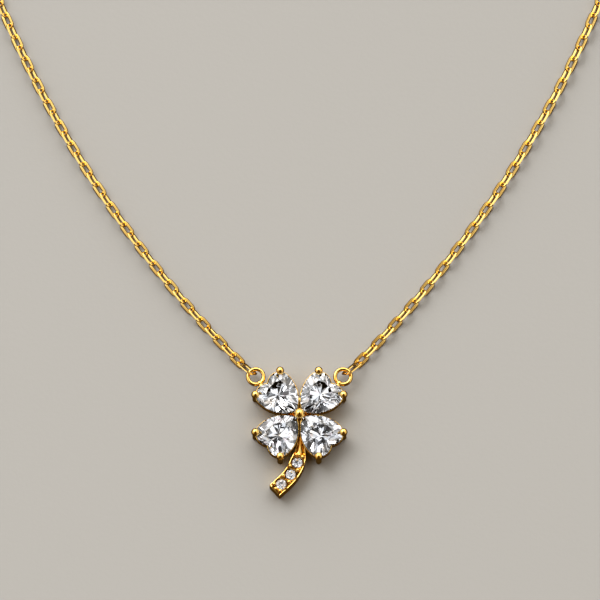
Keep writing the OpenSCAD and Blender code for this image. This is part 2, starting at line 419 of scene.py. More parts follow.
def weld(bm: BMesh) -> None:
    """Merge doubled vertices and turn the faces outwards."""
    bmesh.ops.remove_doubles(bm, verts=bm.verts, dist=WELD)
    bmesh.ops.recalc_face_normals(bm, faces=bm.faces)


def everything(bm: BMesh) -> list:
    """All vertices, edges and faces of a mesh."""
    return bm.verts[:] + bm.edges[:] + bm.faces[:]


def mirror_half(bm: BMesh) -> None:
    """Add the other half of a part that was made on one side of X.

    Args:
        bm: Half of the part.
    """
    bmesh.ops.mirror(
        bm, geom=everything(bm), matrix=Matrix.Identity(4), merge_dist=WELD, axis="Y",
    )


def spin(
    bm: BMesh, geom: list, centre: Point, degrees: float, steps: int, merge: bool = False,
) -> list:
    """Spin geometry round an upright axis.

    Args:
        bm: Mesh to work in.
        geom: Vertices and edges to spin.
        centre: Where the axis stands.
        degrees: Angle, anticlockwise from above.
        steps: Number of steps.
        merge: Whether a full turn closes on itself.

    Returns:
        The geometry at the end of the spin.
    """
    return bmesh.ops.spin(
        bm, geom=geom, cent=(*centre, 0.0), axis=(0.0, 0.0, 1.0), angle=math.radians(degrees),
        steps=steps, use_merge=merge, use_duplicate=False,
    )["geom_last"]


def line_of(bm: BMesh, points: list[Vector], closed: bool) -> list:
    """Add a few vertices joined by edges in order.

    Args:
        bm: Mesh to add to.
        points: Where the vertices go.
        closed: Whether the last joins the first.

    Returns:
        The vertices and edges.
    """
    verts = [bm.verts.new(p) for p in points]
    pairs = list(zip(verts, verts[1:])) + ([(verts[-1], verts[0])] if closed else [])
    return verts + [bm.edges.new(pair) for pair in pairs]


def extrude_ring(bm: BMesh, edges: list[BMEdge]) -> tuple[list[BMVert], list[BMEdge]]:
    """Extrude a ring of edges on the spot.

    Args:
        bm: Mesh to work in.
        edges: Edges of the ring.

    Returns:
        The vertices and edges of the new ring.
    """
    grown = bmesh.ops.extrude_edge_only(bm, edges=edges)["geom"]
    verts = [g for g in grown if isinstance(g, BMVert)]
    ring = [g for g in grown if isinstance(g, BMEdge) and all(v in verts for v in g.verts)]
    return verts, ring


def put(bm: BMesh, part: BMesh, *places: Matrix) -> None:
    """Add a part to a mesh once for each place, and free the part.

    Args:
        bm: Mesh to add to.
        part: Part, in its own frame.
        places: Matrix of each copy.
    """
    weld(part)
    shape = bpy.data.meshes.new("part")
    part.to_mesh(shape)
    part.free()
    for place in places:
        before = len(bm.verts)
        bm.from_mesh(shape)
        bm.verts.ensure_lookup_table()
        fresh = bm.verts[before:]
        bmesh.ops.transform(bm, matrix=place, verts=fresh)
        if place.determinant() < 0:
            bmesh.ops.reverse_faces(bm, faces=list({f for v in fresh for f in v.link_faces}))
    bpy.data.meshes.remove(shape)


def lathe(profile: list[Point], steps: int) -> BMesh:
    """Turn a profile round the Z axis.

    Args:
        profile: Radius and height of each point.
        steps: Number of sides.

    Returns:
        The turned part.
    """
    part = bmesh.new()
    geom = line_of(part, [Vector((r, 0.0, z)) for r, z in profile], closed=False)
    spin(part, geom, (0.0, 0.0), 360.0, steps, merge=True)
    weld(part)
    return part


def ball_profile(neck: Point, z: float, radius: float, steps: int) -> list[Point]:
    """Profile of a ball on a post, from the neck to the top.

    Args:
        neck: Radius and height where the post meets the ball.
        z: Height of the ball's middle.
        radius: Radius of the ball.
        steps: Number of steps over the ball.

    Returns:
        Radius and height of each point.
    """
    start = -math.acos(min(1.0, neck[0] / radius))
    turns = [start + (math.pi / 2 - start) * i / steps for i in range(steps + 1)]
    return [neck, *((radius * math.cos(t), z + radius * math.sin(t)) for t in turns)]


def to_object(name: str, bm: BMesh, finish: Finish | None = None) -> bpy.types.Object:
    """Put a mesh in the scene.

    Args:
        name: Name of its object.
        bm: The mesh; it is freed.
        finish: What it is made of, unless it is a tool.

    Returns:
        The object.
    """
    mesh = bpy.data.meshes.new(name)
    bm.to_mesh(mesh)
    bm.free()
    if finish:
        mesh.materials.append(finish.material())
    made = bpy.data.objects.new(name, mesh)
    bpy.context.scene.collection.objects.link(made)
    return made


def cut_away(bm: BMesh, cutter: BMesh) -> BMesh:
    """Cut one mesh out of another.

    Args:
        bm: Mesh that is cut; it is freed.
        cutter: Mesh that cuts; it is freed.

    Returns:
        What is left.
    """
    blank, tool = to_object("blank", bm), to_object("cutter", cutter)
    carve = blank.modifiers.new("carve", "BOOLEAN")
    carve.operation, carve.solver, carve.object = "DIFFERENCE", "EXACT", tool
    carved = bpy.data.meshes.new_from_object(blank.evaluated_get(bpy.context.evaluated_depsgraph_get()))
    left = bmesh.new()
    left.from_mesh(carved)
    for obj in (blank, tool):
        mesh = obj.data
        bpy.data.objects.remove(obj)
        bpy.data.meshes.remove(mesh)
    bpy.data.meshes.remove(carved)
    bmesh.ops.remove_doubles(left, verts=left.verts, dist=WELD)
    bmesh.ops.dissolve_degenerate(left, dist=WELD, edges=left.edges)
    return left


def finish_piece(
    name: str, bm: BMesh, finish: Finish, nodes: list[str],
    crease_deg: float | None = 35.0,
) -> bpy.types.Object:
    """Write a mesh in millimetres as a piece of the necklace.

    Args:
        name: Name of the piece.
        bm: Its mesh, in millimetres in the frame; it is freed.
        finish: What it is made of.
        nodes: CAD nodes that it stands for.
        crease_deg: Angle above which an edge stays sharp, or None for flat facets.

    Returns:
        The piece.
    """
    bmesh.ops.transform(bm, matrix=Matrix.Scale(MM, 4), verts=bm.verts)
    for face in bm.faces:
        face.smooth = crease_deg is not None
    piece = to_object(name, bm, finish)
    if crease_deg is not None:
        piece.data.set_sharp_from_angle(angle=math.radians(crease_deg))
    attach(piece, "root")
    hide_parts(*nodes)
    log.info("%s: %d faces", name, len(piece.data.polygons))
    return piece


def clover_middle() -> Vector:
    """Find the middle of the clover in the frame, from the boxes of its heart stones.

    Returns:
        The middle, in millimetres, at Z 0.
    """
    boxes = [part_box(leaf.node) for leaf in Leaf]
    low = Vector([min(box[0][i] for box in boxes) for i in range(3)])
    high = Vector([max(box[1][i] for box in boxes) for i in range(3)])
    middle = (low + high) / 2 / MM
    return Vector((middle.x, middle.y, 0.0))


@dataclass(frozen=True)
class HalfOutline:
    """Half of a stone's outline, from its tip to the far end of its axis, which lies along X.

    It is two arcs that run into each other abreast of the second one's middle. Lengths are in
    millimetres, and X is measured from the clover's middle for a heart.
    """

    tip_x: float
    bend_x: float
    half_width: float
    lobe_radius: float
    notched: bool

    @property
    def lobe(self) -> Point:
        """Middle of the lobe's arc."""
        return self.bend_x, self.half_width - self.lobe_radius

    @property
    def side_radius(self) -> float:
        """Radius of the side's arc."""
        reach = self.bend_x - self.tip_x
        return (reach ** 2 + self.half_width ** 2) / (2 * self.half_width)

    @property
    def side(self) -> Point:
        """Middle of the side's arc."""
        return self.bend_x, self.half_width - self.side_radius

    @property
    def tip_deg(self) -> float:
        """Direction in which the side faces at the tip."""
        return 180 - math.degrees(math.asin(-self.side[1] / self.side_radius))

    @property
    def end_deg(self) -> float:
        """Direction in which the lobe faces at the axis."""
        return -math.degrees(math.asin(self.lobe[1] / self.lobe_radius))

    def at(self, share: float) -> tuple[Vector, Vector]:
        """Find a point on the outline.

        Args:
            share: Share of its length, from the tip.

        Returns:
            The point, and the direction in which the outline faces there.
        """
        side_len = math.radians(self.tip_deg - 90) * self.side_radius
        lobe_len = math.radians(90 - self.end_deg) * self.lobe_radius
        run = share * (side_len + lobe_len)
        if run < side_len:
            turn = math.radians(self.tip_deg) - run / self.side_radius
            middle, radius = self.side, self.side_radius
        else:
            turn = math.pi / 2 - (run - side_len) / self.lobe_radius
            middle, radius = self.lobe, self.lobe_radius
        facing = Vector((math.cos(turn), math.sin(turn), 0.0))
        return Vector((*middle, 0.0)) + radius * facing, facing

    def sweep(
        self, bm: BMesh, profile: list[Point], steps: int,
        overrun_deg: Point = (0.0, 0.0), closed: bool = False,
    ) -> None:
        """Sweep a profile along the half outline.

        Args:
            bm: Mesh to sweep in.
            profile: Distance outside the outline and height of each point.
            steps: Number of steps over each arc.
            overrun_deg: How far it runs on past the tip and past the far end.
            closed: Whether the profile closes on itself.
        """
        tip_over, end_over = overrun_deg
        start = math.radians(self.tip_deg + tip_over)
        points = [
            Vector((
                self.side[0] + (self.side_radius + out) * math.cos(start),
                self.side[1] + (self.side_radius + out) * math.sin(start), z,
            )) for out, z in profile
        ]
        geom = line_of(bm, points, closed)
        geom = spin(bm, geom, self.side, 90 - self.tip_deg - tip_over, steps)
        spin(bm, geom, self.lobe, self.end_deg - 90 - end_over, steps)


HEART = HalfOutline(tip_x=0.58, bend_x=4.53, half_width=2.5, lobe_radius=1.45, notched=True)
ROUND = HalfOutline(tip_x=-0.625, bend_x=0.0, half_width=0.625, lobe_radius=0.625, notched=False)


@dataclass(frozen=True)
class BrilliantCut:
    """A brilliant cut, made as a cutter makes it: each facet is one flat cut across a blank.

    Half the stone is cut and mirrored. Marks are the places of the main facets along the half
    outline, as shares of it. The other shares are of the crown's height or the pavilion's length.
    """

    outline: HalfOutline
    marks: tuple[float, ...]
    middle_x: float
    girdle: float
    crown: float
    pavilion: float
    table: float = 0.56
    star: float = 0.5
    lower: float = 0.68
    blank_steps: int = 14

    def stone(self, gap: float = 0.0) -> BMesh:
        """Cut the stone.

        Args:
            gap: Growth all round, for the space that it takes in its setting.

        Returns:
            The stone, with its girdle's middle at Z 0.
        """
        bm = self._blank()
        for point, facing in self._facets():
            self._cut(bm, point, facing)
        seam = [f for f in bm.faces if all(abs(v.co.y) < WELD for v in f.verts)]
        bmesh.ops.delete(bm, geom=seam, context="FACES")
        mirror_half(bm)
        weld(bm)
        bmesh.ops.dissolve_limit(bm, angle_limit=math.radians(0.1), verts=bm.verts, edges=bm.edges)
        if gap:
            for vert in bm.verts:
                vert.co += Vector((vert.co.x - self.middle_x, vert.co.y, vert.co.z)).normalized() * gap
        return bm

    def _blank(self) -> BMesh:
        """Make half of the blank.

        Returns:
            Half of the blank, a block with the stone's outline.
        """
        bm = bmesh.new()
        low = -self.girdle / 2 - self.pavilion
        self.outline.sweep(bm, [(0.0, low)], self.blank_steps)
        face = bm.faces.new(bm.verts)
        top = bmesh.ops.extrude_face_region(bm, geom=[face])["geom"]
        lift = Vector((0.0, 0.0, self.crown + self.girdle + self.pavilion))
        bmesh.ops.translate(bm, vec=lift, verts=[g for g in top if isinstance(g, BMVert)])
        bmesh.ops.recalc_face_normals(bm, faces=bm.faces)
        return bm

    def _facets(self) -> list[tuple[Vector, Vector]]:
        """Lay out the facets of half the stone.

        Returns:
            A point on each facet and the direction in which it faces, in the order of the cuts.
        """
        up, down = self.girdle / 2, -self.girdle / 2
        culet = Vector((self.middle_x, 0.0, down - self.pavilion))
        mains = [self.outline.at(mark) for mark in self.marks]
        tops = [self._on_table(point) for point, _ in mains]
        beds = [self._plane(point, facing, down, culet) for point, facing in mains]
        kites = [self._plane(point, facing, up, top) for (point, facing), top in zip(mains, tops)]
        cuts = [(culet, bed) for bed in beds] + list(zip(tops, kites))
        edges = [-self.marks[0], *self.marks, 2 - self.marks[-1]]
        for i in range(len(edges) - 1):
            first, second = self._pair(beds, i)
            ridge = first.cross(second)
            inner = culet + ridge * (self.pavilion / ridge.z) * (1 - self.lower)
            first, second = self._pair(kites, i)
            ridge = first.cross(second)
            base = self._meet(first, second, self._pair(tops, i))
            tip = base + ridge * ((up + self.crown * (1 - self.star) - base.z) / ridge.z)
            # Two halves lie between each main facet and the next, on the crown and on the pavilion.
            for quarter in (0.25, 0.75):
                share = edges[i] + (edges[i + 1] - edges[i]) * quarter
                if 0 < share < 1:
                    point, facing = self.outline.at(share)
                    cuts.append((inner, self._plane(point, facing, down, inner)))
                    cuts.append((tip, self._plane(point, facing, up, tip)))
            if not (self.outline.notched and i == len(edges) - 2):
                start, end = self._pair(tops, i)
                cuts.append((tip, self._outward((end - start).cross(tip - start))))
        return cuts

    def _pair(self, rows: list[Vector], i: int) -> tuple[Vector, Vector]:
        """Find the two main facets beside a gap, one of which may be a mirror image.

        Args:
            rows: A vector for each main facet of the half.
            i: Number of the gap; the first and last lie across the axis.

        Returns:
            The rows on both sides of the gap.
        """
        flip = Matrix.Scale(-1, 3, (0.0, 1.0, 0.0))
        first = flip @ rows[0] if i == 0 else rows[i - 1]
        second = flip @ rows[-1] if i == len(rows) else rows[i]
        return first, second

    def _meet(self, first: Vector, second: Vector, tops: tuple[Vector, Vector]) -> Vector:
        """A point on both of two crown facets, each of which passes through one of two points."""
        across = first.cross(first.cross(second))
        return tops[0] + across * ((tops[1] - tops[0]).dot(second) / across.dot(second))

    def _on_table(self, point: Vector) -> Vector:
        """Where a main facet reaches the table."""
        middle = Vector((self.middle_x, 0.0, 0.0))
        return middle + (point - middle) * self.table + Vector((0.0, 0.0, self.girdle / 2 + self.crown))

    def _plane(self, point: Vector, facing: Vector, z: float, through: Vector) -> Vector:
        """Direction of a facet that touches the outline at a height and passes through a point."""
        along = Vector((-facing.y, facing.x, 0.0))
        return self._outward(along.cross(through - point - Vector((0.0, 0.0, z))), facing)

    @staticmethod
    def _outward(normal: Vector, facing: Vector | None = None) -> Vector:
        """Turn a facet's direction outwards: the way that it faces in plan, or else up."""
        sign = normal.dot(facing) if facing else normal.z
        return normal.normalized() * (1 if sign > 0 else -1)

    @staticmethod
    def _cut(bm: BMesh, point: Vector, facing: Vector) -> None:
        """Grind one facet: drop what lies outside the plane and close the cut.

        Args:
            bm: Half of the stone.
            point: A point on the facet.
            facing: Direction in which it faces.
        """
        made = bmesh.ops.bisect_plane(
            bm, geom=everything(bm), dist=FINE, plane_co=point, plane_no=facing, clear_outer=True,
        )["geom_cut"]
        edges = [g for g in made if isinstance(g, BMEdge) and len(g.link_faces) == 1]
        if len(edges) > 2:
            bmesh.ops.contextual_create(bm, geom=edges)
        bmesh.ops.remove_doubles(bm, verts=bm.verts, dist=FINE)


HEART_CUT = BrilliantCut(
    outline=HEART, marks=(0.1, 0.31, 0.52, 0.7, 0.88), middle_x=3.712,
    girdle=0.12, crown=0.72, pavilion=2.09,
)
ROUND_CUT = BrilliantCut(
    outline=ROUND, marks=(0.125, 0.375, 0.625, 0.875), middle_x=0.0,
    girdle=0.05, crown=0.2, pavilion=0.5375, blank_steps=8,
)


@dataclass(frozen=True)
class HeartStones:
    """The four heart stones of the clover."""

    cut: BrilliantCut = HEART_CUT
    girdle_z: float = 2.35

    def place(self, leaf: Leaf) -> Matrix:
        """Place of a leaf's stone in the frame, in millimetres."""
        middle = clover_middle() + Vector((0.0, 0.0, self.girdle_z))
        return Matrix.Translation(middle) @ Matrix.Rotation(math.radians(leaf.value), 4, "Z")

    def space(self, gap: float) -> BMesh:
        """Make the room that the stones take in the setting.

        Args:
            gap: Space left round each stone.

        Returns:
            The stones as one mesh, grown by the gap.
        """
        bm = bmesh.new()
        put(bm, self.cut.stone(gap), *(self.place(leaf) for leaf in Leaf))
        return bm

    def build(self) -> None:
        """Cut and set the stones."""
        for leaf in Leaf:
            bm = bmesh.new()
            put(bm, self.cut.stone(), self.place(leaf))
            finish_piece(f"{leaf.node}_cut", bm, ZIRCONIA, [leaf.node], crease_deg=None)


@dataclass(frozen=True)
class StemLine:
    """Middle line of the stem: a straight lead, then one bend to the left."""

    start: float = 2.8
    offset: float = 0.15
    lead: float = 1.05
    bend_radius: float = 6.4
    bend_deg: float = 47.0
    length: float = 7.95

    def turn(self, s: float) -> float:
        """Turn from straight down at a length from the point, in radians."""
        return min(math.radians(self.bend_deg), max(0.0, (s - self.lead) / self.bend_radius))

    def at(self, s: float, across: float = 0.0, z: float = 0.0) -> Vector:
        """Find a place beside the line.

        Args:
            s: Length from the point.
            across: Distance to the right of the line.
            z: Height.

        Returns:
            The place, with the clover's middle at the origin.
        """
        turn = self.turn(s)
        tail = max(0.0, s - self.lead - self.bend_radius * math.radians(self.bend_deg))
        x = self.offset - self.bend_radius * (1 - math.cos(turn)) - tail * math.sin(turn)
        y = -self.start - min(s, self.lead) - self.bend_radius * math.sin(turn) - tail * math.cos(turn)
        return Vector((x + across * math.cos(turn), y - across * math.sin(turn), z))

    def frame_at(self, s: float, z: float) -> Matrix:
        """Frame on the line at a length and a height, with X across."""
        turned = Matrix.Rotation(-self.turn(s), 4, "Z")
        return Matrix.Translation(clover_middle() + self.at(s, 0.0, z)) @ turned


class Row(Enum):
    """The round stones of the stem, from its point."""

    TOP = 0
    MIDDLE = 1
    BOTTOM = 2

    @property
    def node(self) -> str:
        """Name of the stone's CAD node."""
        return f"stem_stone_{self.name.lower()}"


@dataclass(frozen=True)
class StemStones:
    """The three round stones of the stem."""

    line: StemLine = StemLine()
    cut: BrilliantCut = ROUND_CUT
    first: float = 3.36
    pitch: float = 1.72
    girdle_z: float = 1.85

    def place(self, row: Row) -> Matrix:
        """Place of a stone in the frame, in millimetres."""
        return self.line.frame_at(self.first + row.value * self.pitch, self.girdle_z)

    def build(self) -> None:
        """Cut and set the stones."""
        for row in Row:
            bm = bmesh.new()
            put(bm, self.cut.stone(), self.place(row))
            finish_piece(f"{row.node}_cut", bm, ZIRCONIA, [row.node], crease_deg=None)


@dataclass(frozen=True)
class Stem:
    """Cast stem: a ridged point, then a channel with a thin rim, cut out for three stones."""

    stones: StemStones = StemStones()
    width: float = 1.9
    height: float = 2.0
    rim: float = 0.17
    depth: float = 0.17
    channel_start: float = 2.32
    edge: float = 0.07
    end_wall: float = 0.17
    # The channel's end walls lean over this length, and the stem's end is eased by it.
    lean: float = 0.02
    point_steps: int = 30
    channel_steps: int = 40
    # Near the point, the edge and the rim are no wider than these shares of the half width.
    edge_share: float = 0.25
    rim_share: float = 0.35
    # The sides end this many edges below the brow.
    shoulder: float = 1.6
    # Rounding of the rim: share of its width, and drop as a share of the edge.
    rim_round: tuple[Point, ...] = ((0.06, 0.75), (0.22, 0.2), (0.45, 0.0), (0.68, 0.2), (0.85, 0.8))
    # Crown of the solid point: share of its half width across, and drop from the ridge as a share of it.
    crown: tuple[Point, ...] = (
        (-0.9, 0.5), (-0.72, 0.24), (-0.5, 0.07), (-0.3, 0.0), (-0.08, 0.04),
        (0.2, 0.17), (0.48, 0.28), (0.74, 0.42), (0.9, 0.56),
    )
    fade: float = 0.3
    # Radius and height of the seat that is cut for each stone, from the stone's girdle.
    seat: tuple[Point, ...] = (
        (0.0, -0.75), (0.12, -0.75), (0.55, -0.19), (0.66, -0.16), (0.84, -0.01), (0.9, 0.2), (0.0, 0.2),
    )
    # Share of the stem's length from its point, and share of its full width there.
    sections: tuple[Point, ...] = (
        (0.0, 0.2), (0.06, 0.37), (0.114, 0.5), (0.18, 0.65),
        (0.257, 0.79), (0.34, 0.92), (0.42, 1.0), (1.0, 1.0),
    )
    # Place of each grain: stone spacings from the first stone, and share of the room across.
    grains: tuple[Point, ...] = (
        (-0.56, -0.64), (-0.6, 0.0), (-0.5, 0.66), (0.46, -0.86), (0.48, 0.6),
        (1.42, -0.84), (1.48, 0.58), (2.36, -0.84), (2.5, -0.06), (2.4, 0.66),
    )
    grain_d: float = 0.48
    grain_margin: float = 0.2
    grain_post: float = 0.95
    grain_sink: float = 0.02

    @property
    def line(self) -> StemLine:
        """The middle line, which the stones stand on too."""
        return self.stones.line

    def half_width(self, s: float) -> float:
        """Find half of the stem's width.

        Args:
            s: Length from the point.

        Returns:
            Half of the width.
        """
        share = s / self.line.length
        for (a, wide_a), (b, wide_b) in zip(self.sections, self.sections[1:]):
            if share <= b:
                return self.width / 2 * (wide_a + (wide_b - wide_a) * (share - a) / (b - a))
        return self.width / 2

    def section(self, s: float, depth: float, ease: float) -> list[Vector]:
        """Cross-section of the stem, from its lower left round its top to its lower right.

        Args:
            s: Length from the point.
            depth: Depth of the channel there.
            ease: How far the whole section is drawn in, to round an end.

        Returns:
            The places of its corners, in the clover's frame.
        """
        half = self.half_width(s) - ease
        edge, rim = min(self.edge, half * self.edge_share), min(self.rim, half * self.rim_share)
        solid = max(0.0, min(1.0, (self.channel_start - s) / self.fade))
        top = self.height - ease
        brow = top - solid * self.crown[0][1] * half
        left = [(-half + edge, 0.0), (-half, edge), (-half, brow - self.shoulder * edge)]
        left += [(-half + rim * x, brow - edge * z) for x, z in self.rim_round]
        right = [(-x, z) for x, z in reversed(left)]
        inner = half - rim
        floor = [
            (share * inner, top - solid * drop * half - depth * (1 - solid)) for share, drop in self.crown
        ]
        return [self.line.at(s, x, z) for x, z in (*left, *floor, *right)]

    def _stations(self) -> list[tuple[float, float, float]]:
        """Lay out the cross-sections.

        Returns:
            Length from the point, depth of the channel and ease of each cross-section.
        """
        start, length, lean = self.channel_start, self.line.length, self.lean
        end = length - self.end_wall
        run = end - start - 2 * lean
        return [
            *((start * i / self.point_steps, 0.0, 0.0) for i in range(self.point_steps + 1)),
            *(
                (start + lean + run * i / self.channel_steps, self.depth, 0.0)
                for i in range(self.channel_steps + 1)
            ),
            (end, 0.0, 0.0), (length - self.edge, 0.0, 0.0), (length - lean, 0.0, lean),
            (length, 0.0, self.edge),
        ]

    def build(self) -> None:
        """Build the stem and its grains."""
        self._body()
        self._grains()

    def _body(self) -> None:
        """Build the stem, with a seat cut for each stone."""
        first, *others = self._stations()
        bm = bmesh.new()
        line_of(bm, self.section(*first), closed=True)
        bm.faces.new(bm.verts)
        edges = bm.edges[:]
        for station in others:
            verts, edges = extrude_ring(bm, edges)
            for vert, place in zip(verts, self.section(*station)):
                vert.co = place
        bm.faces.new(verts)
        weld(bm)
        bmesh.ops.translate(bm, vec=clover_middle(), verts=bm.verts)
        seats = bmesh.new()
        put(seats, lathe(list(self.seat), 40), *(self.stones.place(row) for row in Row))
        finish_piece("stem_body", cut_away(bm, seats), GOLD, ["clover_setting"])

    def _grains(self) -> None:
        """Build the grains raised round the stones."""
        r = self.grain_d / 2
        neck = r * self.grain_post
        places = []
        for pitches, share in self.grains:
            s = self.stones.first + pitches * self.stones.pitch
            across = share * (self.half_width(s) - self.grain_margin)
            places.append(Matrix.Translation(clover_middle() + self.line.at(s, across, self.height)))
        profile = [
            (0.0, -self.depth), (neck, -self.depth), *ball_profile((neck, -self.grain_sink), 0.0, r, 6),
        ]
        beads = bmesh.new()
        put(beads, lathe(profile, 16), *places)
        finish_piece("stem_grains", beads, GOLD, ["clover_setting"])


@dataclass(frozen=True)
class Setting:
    """The cast clover: four heart baskets, ball-tipped prongs, a centre post and the bars between."""

    stones: HeartStones = HeartStones()
    gap: float = 0.03
    rim_show: float = 0.11
    gallery_h: float = 2.29
    band_h: float = 1.0
    base_inset: float = 0.3
    inner: float = -0.38
    # The walls run on past the heart's tip and past its notch, so that the two halves are mitred.
    overrun_deg: Point = (2.0, 36.0)
    post_r: float = 0.37
    # Rounding of a post's foot: how far inside the post, and height.
    foot_round: tuple[Point, ...] = ((0.08, 0.0), (0.03, 0.04), (0.0, 0.12))
    bead_r: float = 0.5
    bead_z: float = 2.75
    bead_neck: float = 0.36
    neck_inset: float = 0.02
    prong_deg: float = 47.0
    prong_reach: float = 1.55
    centre_bead_r: float = 0.65
    centre_bead_drop: float = 0.07
    centre_post_inset: float = 0.05
    centre_neck: float = 0.3
    centre_foot: tuple[Point, ...] = ((0.07, 0.0), (0.0, 0.06))
    bar_l: float = 2.15
    bar_w: float = 0.9
    bar_lap: float = 0.15
    bar_round: float = 0.08
    # The bars lie this far above the post's foot, so that no two faces lie in one plane.
    bar_foot: float = 0.03
    bar_drop: float = 0.02

    def _leaves(self) -> list[Matrix]:
        """Place of each leaf's basket."""
        lift = Matrix.Translation((0.0, 0.0, -self.stones.girdle_z))
        return [self.stones.place(leaf) @ lift for leaf in Leaf]

    def build(self) -> None:
        """Build the cast clover."""
        self._galleries()
        self._prongs()
        self._middle()

    def _clear(self, bm: BMesh) -> BMesh:
        """Cut the room that the stones need out of a part."""
        return cut_away(bm, self.stones.space(self.gap))

    def _galleries(self) -> None:
        """Build the heart-shaped walls, swept round half an outline, mitred on its axis and mirrored."""
        out, top, low = self.rim_show, self.gallery_h, self.gallery_h - self.band_h
        base = out - self.base_inset
        # The plain numbers round the edges of the band, of the step below it and of the foot.
        profile = [
            (0.045, top), (out - 0.045, top + 0.005), (out - 0.012, top - 0.018), (out, top - 0.06),
            (out, low + 0.08), (out - 0.03, low + 0.02), (base + 0.04, low - 0.02), (base, low - 0.08),
            (base, 0.06), (base - 0.05, 0.0), (self.inner, 0.0), (self.inner, top - 0.5),
        ]
        bm = bmesh.new()
        HEART.sweep(bm, profile, 16, self.overrun_deg, closed=True)
        bmesh.ops.bisect_plane(
            bm, geom=everything(bm), dist=FINE,
            plane_co=(0.0, 0.0, 0.0), plane_no=(0.0, -1.0, 0.0), clear_outer=True,
        )
        mirror_half(bm)
        whole = bmesh.new()
        put(whole, bm, *self._leaves())
        self._finish("galleries", self._clear(whole))

    def _prongs(self) -> None:
        """Build eight posts with ball tips, notched for the stones."""
        turn = math.radians(self.prong_deg)
        x = HEART.lobe[0] + self.prong_reach * math.cos(turn)
        y = HEART.lobe[1] + self.prong_reach * math.sin(turn)
        neck = (self.post_r - self.neck_inset, self.bead_z - self.bead_neck)
        profile = [
            (0.0, 0.0), *((self.post_r - inset, z) for inset, z in self.foot_round),
            *ball_profile(neck, self.bead_z, self.bead_r, 14),
        ]
        prongs = bmesh.new()
        places = [
            leaf @ Matrix.Translation((x, side.value * y, 0.0)) for leaf in self._leaves() for side in Side
        ]
        put(prongs, lathe(profile, 32), *places)
        self._finish("prongs", self._clear(prongs), 40.0)

    def _middle(self) -> None:
        """Build the centre post with its ball, and the bars between the baskets."""
        post_r = self.centre_bead_r - self.centre_post_inset
        bead_z = self.bead_z - self.centre_bead_drop
        profile = [
            (0.0, 0.0), *((post_r - inset, z) for inset, z in self.centre_foot),
            *ball_profile((post_r, bead_z - self.centre_neck), bead_z, self.centre_bead_r, 16),
        ]
        here = Matrix.Translation(clover_middle())
        bm = bmesh.new()
        put(bm, lathe(profile, 48), here)
        bm = self._clear(bm)
        long, foot = self.bar_l + self.bar_lap, self.bar_foot
        for quarter in range(4):
            height = self.gallery_h - self.bar_drop if quarter % 2 else self.gallery_h / 2
            bar = bmesh.new()
            bmesh.ops.create_cube(bar, size=1.0)
            bmesh.ops.scale(bar, vec=(long, self.bar_w, height - foot), verts=bar.verts)
            middle = ((self.bar_l - self.bar_lap) / 2, 0.0, (height + foot) / 2)
            bmesh.ops.translate(bar, vec=middle, verts=bar.verts)
            bmesh.ops.bevel(
                bar, geom=bar.edges[:], offset=self.bar_round, offset_type="OFFSET", segments=3,
                profile=0.5, affect="EDGES", material=-1,
            )
            turned = here @ Matrix.Rotation(math.radians(90 * quarter), 4, "Z")
            bmesh.ops.transform(bar, matrix=turned, verts=bar.verts)
            put(bm, self._clear(bar), Matrix.Identity(4))
        self._finish("middle", bm)

    @staticmethod
    def _finish(name: str, bm: BMesh, crease_deg: float = 35.0) -> None:
        """Add a piece of the setting, and hide it from the light that leaves the stones.

        Args:
            name: What the piece is.
            bm: Its mesh, in millimetres.
            crease_deg: Angle above which an edge stays sharp.
        """
        piece = finish_piece(f"setting_{name}", bm, GOLD, ["clover_setting"], crease_deg)
        piece.visible_transmission = False


@dataclass(frozen=True)
class SideRings:
    """Round wire rings soldered to the outer lobes of the upper hearts."""

    outer_d: float = 2.45
    wire: float = 0.49
    z: float = 1.3
    turn_deg: float = 15.0
    reach: float = 2.995

    def _out(self, side: Side, reach: float) -> Vector:
        """Find a place on the way from the middle of an upper lobe to its ring.

        Args:
            side: Side of the chain.
            reach: Distance from the middle of the lobe.

        Returns:
            The place, with the clover's middle at the origin.
        """
        turn = math.radians(self.turn_deg)
        x = HEART.lobe[0] + reach * math.cos(turn)
        y = HEART.lobe[1] - reach * math.sin(turn)
        return Vector((side.value * (x + y) * math.sqrt(0.5), (x - y) * math.sqrt(0.5), self.z))

    def centre(self, side: Side) -> Vector:
        """Middle of a ring, in the frame."""
        return clover_middle() + self._out(side, self.reach)

    def build(self) -> None:
        """Build both rings with their solder."""
        start = HEART.lobe_radius - 0.1
        end = self.reach - (self.outer_d - self.wire) / 2
        # Radius of the solder, and its length from the middle of the lobe.
        profile = [
            (0.0, start), (0.36, start), (0.34, start + 0.25), (0.28, start + 0.4), (0.29, end - 0.12),
            *ball_profile((0.3, end - 0.1), end, 0.36, 8),
        ]
        bm = bmesh.new()
        for side in Side:
            put(bm, wire_ring(self.outer_d, self.wire), Matrix.Translation(self.centre(side)))
            lobe = self._out(side, 0.0)
            away = self.centre(side) - clover_middle() - lobe
            lay = (
                Matrix.Rotation(math.atan2(away.y, away.x), 4, "Z")
                @ Matrix.Rotation(math.radians(90), 4, "Y")
            )
            put(bm, lathe(profile, 24), Matrix.Translation(clover_middle() + lobe) @ lay)
        finish_piece("setting_side_rings", bm, GOLD, ["clover_setting"])


def wire_ring(outer_d: float, wire: float) -> BMesh:
    """Make a ring of round wire.

    Args:
        outer_d: Its outer diameter.
        wire: The wire's diameter.

    Returns:
        The ring, lying flat round the origin.
    """
    ring = bmesh.new()
    made = bmesh.ops.create_circle(ring, segments=20, radius=wire / 2)
    bmesh.ops.rotate(ring, verts=made["verts"], matrix=Matrix.Rotation(math.radians(90), 3, "X"))
    bmesh.ops.translate(ring, verts=made["verts"], vec=((outer_d - wire) / 2, 0.0, 0.0))
    spin(ring, ring.verts[:] + ring.edges[:], (0.0, 0.0), 360.0, 56, merge=True)
    weld(ring)
    return ring


